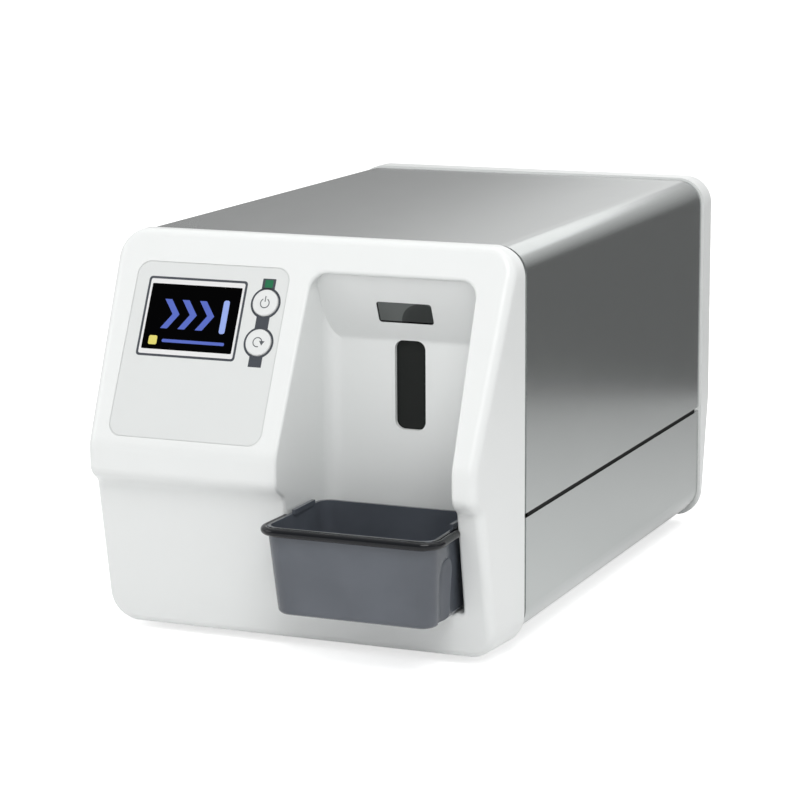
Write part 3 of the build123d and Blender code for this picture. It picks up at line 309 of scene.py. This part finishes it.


# Printed graphics: thin raised ink, cut from flat outlines, and a grey line round the label's edge,
# painted shade of its step


def piece(name, verts, faces, shader, body):
    mesh = bpy.data.meshes.new(name)
    mesh.from_pydata([tuple(v) for v in verts], [], faces)
    mesh.update()
    made = bpy.data.objects.new(name, mesh)
    bpy.context.collection.objects.link(made)
    mesh.materials.append(shader.mat)
    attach(made, body)


def plate(name, rings, level, shader, body="housing"):
    """Plate of ink or of painted shade from outlines (u, v): the outer one, then perhaps a hole with as
    many points.
    """
    count = len(rings[0])
    top = count * len(rings)
    verts = []
    for height in (level, level + INK):
        for ring in rings:
            verts += [on_label(u, v, height) for u, v in ring]
    faces = []
    if len(rings) == 1:
        faces.append(list(range(top, top + count)))
        faces.append(list(range(count - 1, -1, -1)))
    for i in range(count):
        j = (i + 1) % count
        faces.append([i, j, top + j, top + i])
        if len(rings) == 2:
            faces.append([top + i, top + j, top + count + j, top + count + i])
            faces.append([j, i, count + i, count + j])
            faces.append([count + j, count + i, top + count + i, top + count + j])
    piece(name, verts, faces, shader, body)


def circle(u, v, radius, count=64):
    turns = [2 * math.pi * i / count for i in range(count)]
    return [(u + radius * math.cos(a), v + radius * math.sin(a)) for a in turns]


def rounded(u, v, width, height, radius, per=8):
    """Rectangle with rounded corners, of per + 1 points each."""
    points = []
    for x, y, start in ((1, 1, 0), (-1, 1, 90), (-1, -1, 180), (1, -1, 270)):
        corner_u = u + x * (width / 2 - radius)
        corner_v = v + y * (height / 2 - radius)
        for i in range(per + 1):
            a = math.radians(start + 90 * i / per)
            points.append((corner_u + radius * math.cos(a), corner_v + radius * math.sin(a)))
    return points


def arc_mark(name, u, v, start, end, body, steps=32):
    """Open ring of ink on a cap, between two angles in degrees."""
    turns = [math.radians(start + (end - start) * i / steps) for i in range(steps + 1)]
    verts = []
    for height in (CAP, CAP + INK):
        for radius in (ARC_RADIUS + ARC_WIDTH / 2, ARC_RADIUS - ARC_WIDTH / 2):
            verts += [on_label(u + radius * math.cos(a), v + radius * math.sin(a), height) for a in turns]
    c = len(turns)
    faces = []
    for i in range(c - 1):
        faces.append([2 * c + i, 2 * c + i + 1, 3 * c + i + 1, 3 * c + i])
        faces.append([i + 1, i, c + i, c + i + 1])
        faces.append([i, i + 1, 2 * c + i + 1, 2 * c + i])
        faces.append([c + i + 1, c + i, 3 * c + i, 3 * c + i + 1])
    faces.append([0, 2 * c, 3 * c, c])
    faces.append([c - 1, 2 * c - 1, 4 * c - 1, 3 * c - 1])
    piece(name, verts, faces, ink_grey, body)


def strip_mark(name, top, bottom, steps=8):
    """Slate strip below a ring, between two edges that are each a function of u."""
    across = [-STRIP_HALF + 2 * STRIP_HALF * i / steps for i in range(steps + 1)]
    points = [(BUTTON_U + u, bottom(u)) for u in across]
    points += [(BUTTON_U + u, top(u)) for u in reversed(across)]
    plate(name, [points], FILM, ink_slate)


def curve(u):
    """Height of the strip's curved ends over the middle of a button."""
    return math.sqrt(STRIP_CURVE**2 - u * u)


outline, band, screen = (rounded(DISPLAY_U, DISPLAY_V, *size) for size in DISPLAY_SIZES)
plate("display_outline", [outline, band], FILM, ink_slate)
plate("display_band", [band, screen], FILM, band_white)
for tag, v in (("power", POWER_V), ("select", SELECT_V)):
    ring = [circle(BUTTON_U, v, radius) for radius in (RING_OUTER, RING_INNER)]
    plate(tag + "_ring", ring, FILM, ink_slate)
strip_mark("strip_middle", lambda u: POWER_V - curve(u), lambda u: SELECT_V + curve(u))
strip_mark("strip_low", lambda u: SELECT_V - curve(u), lambda u: STRIP_LOW_V)
# Grey line round the label's edge: painted shade of the small step where the film meets the face
plate("label_edge_shade", [rounded(0, 0, *size) for size in LABEL_EDGE_SHADE], FILM, painted_edge_shade)
lamp_outer = rounded(BUTTON_U, LAMP_V, *LAMP_SIZES[0])
lamp_inner = rounded(BUTTON_U, LAMP_V + LAMP_RAISE, *LAMP_SIZES[1])
plate("lamp_frame", [lamp_outer, lamp_inner], FILM, ink_slate)

# Generic symbols on the caps: a broken ring with a bar, and a round arrow
arc_mark("power_mark_arc", BUTTON_U, POWER_V - 0.3, 120, 420, "power_button_cap")
bar = rounded(BUTTON_U, POWER_V + 1.9, 0.5, 3.0, 0.24, 3)
plate("power_mark_bar", [bar], CAP, ink_grey, "power_button_cap")
arc_mark("select_mark_arc", BUTTON_U - 0.2, SELECT_V, 5, 290, "select_button_cap")
head = [(BUTTON_U + u, SELECT_V + v) for u, v in ((0.6, 0.7), (2.1, -1.5), (3.6, 0.7))]
plate("select_mark_head", [head], CAP, ink_grey, "select_button_cap")

# Generic screen: chevrons towards a bar, a progress line and a small yellow square
CHEVRON = ((-3.2, 9.0), (0.6, 9.0), (6.0, 1.5), (0.6, -6.0), (-3.2, -6.0), (2.2, 1.5))
for i in range(3):
    chevron = [(DISPLAY_U - 13 + i * 9.5 + u, DISPLAY_V + v) for u, v in CHEVRON]
    plate("screen_chevron_%d" % (i + 1), [chevron], FILM, art_blue)
for name, u, v, width, height, radius, shader in (
    ("screen_bar", 17.5, 1.5, 3.2, 17.0, 1.2, art_light),
    ("screen_line", 3.0, -12.2, 34.0, 1.6, 0.7, art_blue),
    ("screen_square", -19.0, -12.2, 4.6, 4.6, 0.9, art_yellow),
):
    block = rounded(DISPLAY_U + u, DISPLAY_V + v, width, height, radius)
    plate(name, [block], FILM, shader)

# Stage, light and camera


def ray_level(tree, camera, glossy, diffuse):
    """Three levels by kind of ray: the camera's own, those off metal or through glass, and the rest."""
    path = tree.nodes.new("ShaderNodeLightPath")
    both = tree.nodes.new("ShaderNodeMath")
    both.operation = "MAXIMUM"
    tree.links.new(path.outputs["Is Glossy Ray"], both.inputs[0])
    tree.links.new(path.outputs["Is Transmission Ray"], both.inputs[1])
    first = tree.nodes.new("ShaderNodeMapRange")
    first.inputs["To Min"].default_value = diffuse
    if isinstance(glossy, float):
        first.inputs["To Max"].default_value = glossy
    else:
        tree.links.new(glossy, first.inputs["To Max"])
    tree.links.new(both.outputs[0], first.inputs["Value"])
    second = tree.nodes.new("ShaderNodeMix")
    tree.links.new(path.outputs["Is Camera Ray"], second.inputs["Factor"])
    tree.links.new(first.outputs["Result"], second.inputs["A"])
    second.inputs["B"].default_value = camera
    return second.outputs["Result"]


def grade(tree, output, start, end, low, high):
    """Value that changes along Y."""
    place = tree.nodes.new("ShaderNodeTexCoord")
    parts = tree.nodes.new("ShaderNodeSeparateXYZ")
    tree.links.new(place.outputs[output], parts.inputs[0])
    made = tree.nodes.new("ShaderNodeMapRange")
    made.inputs["From Min"].default_value = start
    made.inputs["From Max"].default_value = end
    made.inputs["To Min"].default_value = low
    made.inputs["To Max"].default_value = high
    tree.links.new(parts.outputs["Y"], made.inputs["Value"])
    return made.outputs["Result"]


def stage_mesh(name, corners, material):
    """Four-cornered surface of the stage."""
    mesh = bpy.data.meshes.new(name)
    mesh.from_pydata(corners, [], [[0, 1, 2, 3]])
    mesh.materials.append(material)
    made = bpy.data.objects.new(name, mesh)
    bpy.context.collection.objects.link(made)
    return made


# Pale floor, shown as one plain brightness, which still takes the object's shadow
floor_pale = bpy.data.materials.new("floor_pale")
floor_pale.use_nodes = True
floor_tree = floor_pale.node_tree
floor_bsdf = floor_tree.nodes["Principled BSDF"]
floor_tone = ray_level(floor_tree, FLOOR_PALE, FLOOR_REFLECTED, FLOOR_PALE)
floor_shine = grade(floor_tree, "Object", 0.0, FLOOR_FADE, FLOOR_SHINE, 0.0)
floor_glow = ray_level(floor_tree, FLOOR_GLOW, floor_shine, 0.0)
floor_tree.links.new(floor_tone, floor_bsdf.inputs["Base Color"])
floor_tree.links.new(floor_glow, floor_bsdf.inputs["Emission Strength"])
floor_bsdf.inputs["Emission Color"].default_value = (1.0, 1.0, 1.0, 1.0)
floor_bsdf.inputs["Roughness"].default_value = 0.9
floor_bsdf.inputs["Specular IOR Level"].default_value = 0.0
floor_corners = [(x * FLOOR_REACH, y * FLOOR_REACH, 0.0) for x, y in ((-1, -1), (1, -1), (1, 1), (-1, 1))]
stage_mesh("floor", floor_corners, floor_pale)

world = bpy.data.worlds.new("studio")
bpy.context.scene.world = world
world.use_nodes = True
sky_tree = world.node_tree
sky = sky_tree.nodes["Background"]
sky.inputs["Color"].default_value = (1.0, 1.0, 1.0, 1.0)
reflected = grade(sky_tree, "Generated", *SKY_TURN, SKY_FRONT, SKY_REAR)
sky_tree.links.new(ray_level(sky_tree, 1.0, reflected, SKY_LIGHT), sky.inputs["Strength"])


def flag(name, shade, pale, rise, corners):
    """Card, as a studio's, which shows only in what is glossy. It pales from one height to another."""
    s = Shader(name, (0.0, 0.0, 0.0), 1.0, Specular_IOR_Level=0.0, Emission_Color=(1.0, 1.0, 1.0, 1.0))
    s.link(s.level("Z", *rise, shade, pale), s.bsdf.inputs["Emission Strength"])
    card = stage_mesh(name, corners, s.mat)
    card.visible_camera = False
    card.visible_diffuse = False
    card.visible_shadow = False
    card.visible_transmission = False


flag(
    "flag_right",
    0.155,
    0.9,
    (0.2, 0.4),
    [(0.0, 0.65, 0.0), (1.6, -0.17, 0.0), (1.6, -0.17, 0.4), (0.0, 0.65, 0.4)],
)
flag(
    "flag_rear",
    0.35,
    0.35,
    (0.0, 1.0),
    [(-0.75, 0.39, 0.0), (0.0, 0.65, 0.0), (0.0, 0.65, 0.2), (-0.75, 0.39, 0.58)],
)


def softbox(name, place, target, size, power):
    data = bpy.data.lights.new(name, "AREA")
    data.shape = "RECTANGLE"
    data.size, data.size_y = size
    data.energy = power
    lamp = bpy.data.objects.new(name, data)
    bpy.context.collection.objects.link(lamp)
    lamp.location = place
    lamp.rotation_euler = (Vector(target) - Vector(place)).to_track_quat("-Z", "Y").to_euler()


softbox("key", (0.9, -1.6, 2.2), (0.0, 0.0, 0.1), (1.4, 1.4), 31)
softbox("left", (-2.2, -1.2, 1.1), (0.0, 0.0, 0.1), (1.4, 1.4), 10)
softbox("top", (0.2, 0.4, 2.4), (0.0, 0.0, 0.1), (1.8, 1.8), 12)
softbox("edge", (0.1, 2.3, 1.15), (0.1, 0.0, 0.2), (1.1, 0.35), 1.1)

yaw, pitch, roll = (math.radians(a) for a in CAMERA_TURNS)
out = Vector((math.sin(yaw) * math.cos(pitch), -math.cos(yaw) * math.cos(pitch), math.sin(pitch)))
level_right = Vector((math.cos(yaw), math.sin(yaw), 0.0))
level_up = out.cross(level_right)
right = level_right * math.cos(roll) + level_up * math.sin(roll)
up = level_up * math.cos(roll) - level_right * math.sin(roll)
camera_data = bpy.data.cameras.new("camera")
camera_data.sensor_width = SENSOR
camera_data.lens = LENS
camera_data.clip_end = 30.0
camera = bpy.data.objects.new("camera", camera_data)
bpy.context.collection.objects.link(camera)
camera.matrix_world = Matrix.Translation(CAMERA_PLACE) @ Matrix((right, up, out)).transposed().to_4x4()
bpy.context.scene.camera = camera
bpy.context.scene.view_settings.view_transform = "Standard"
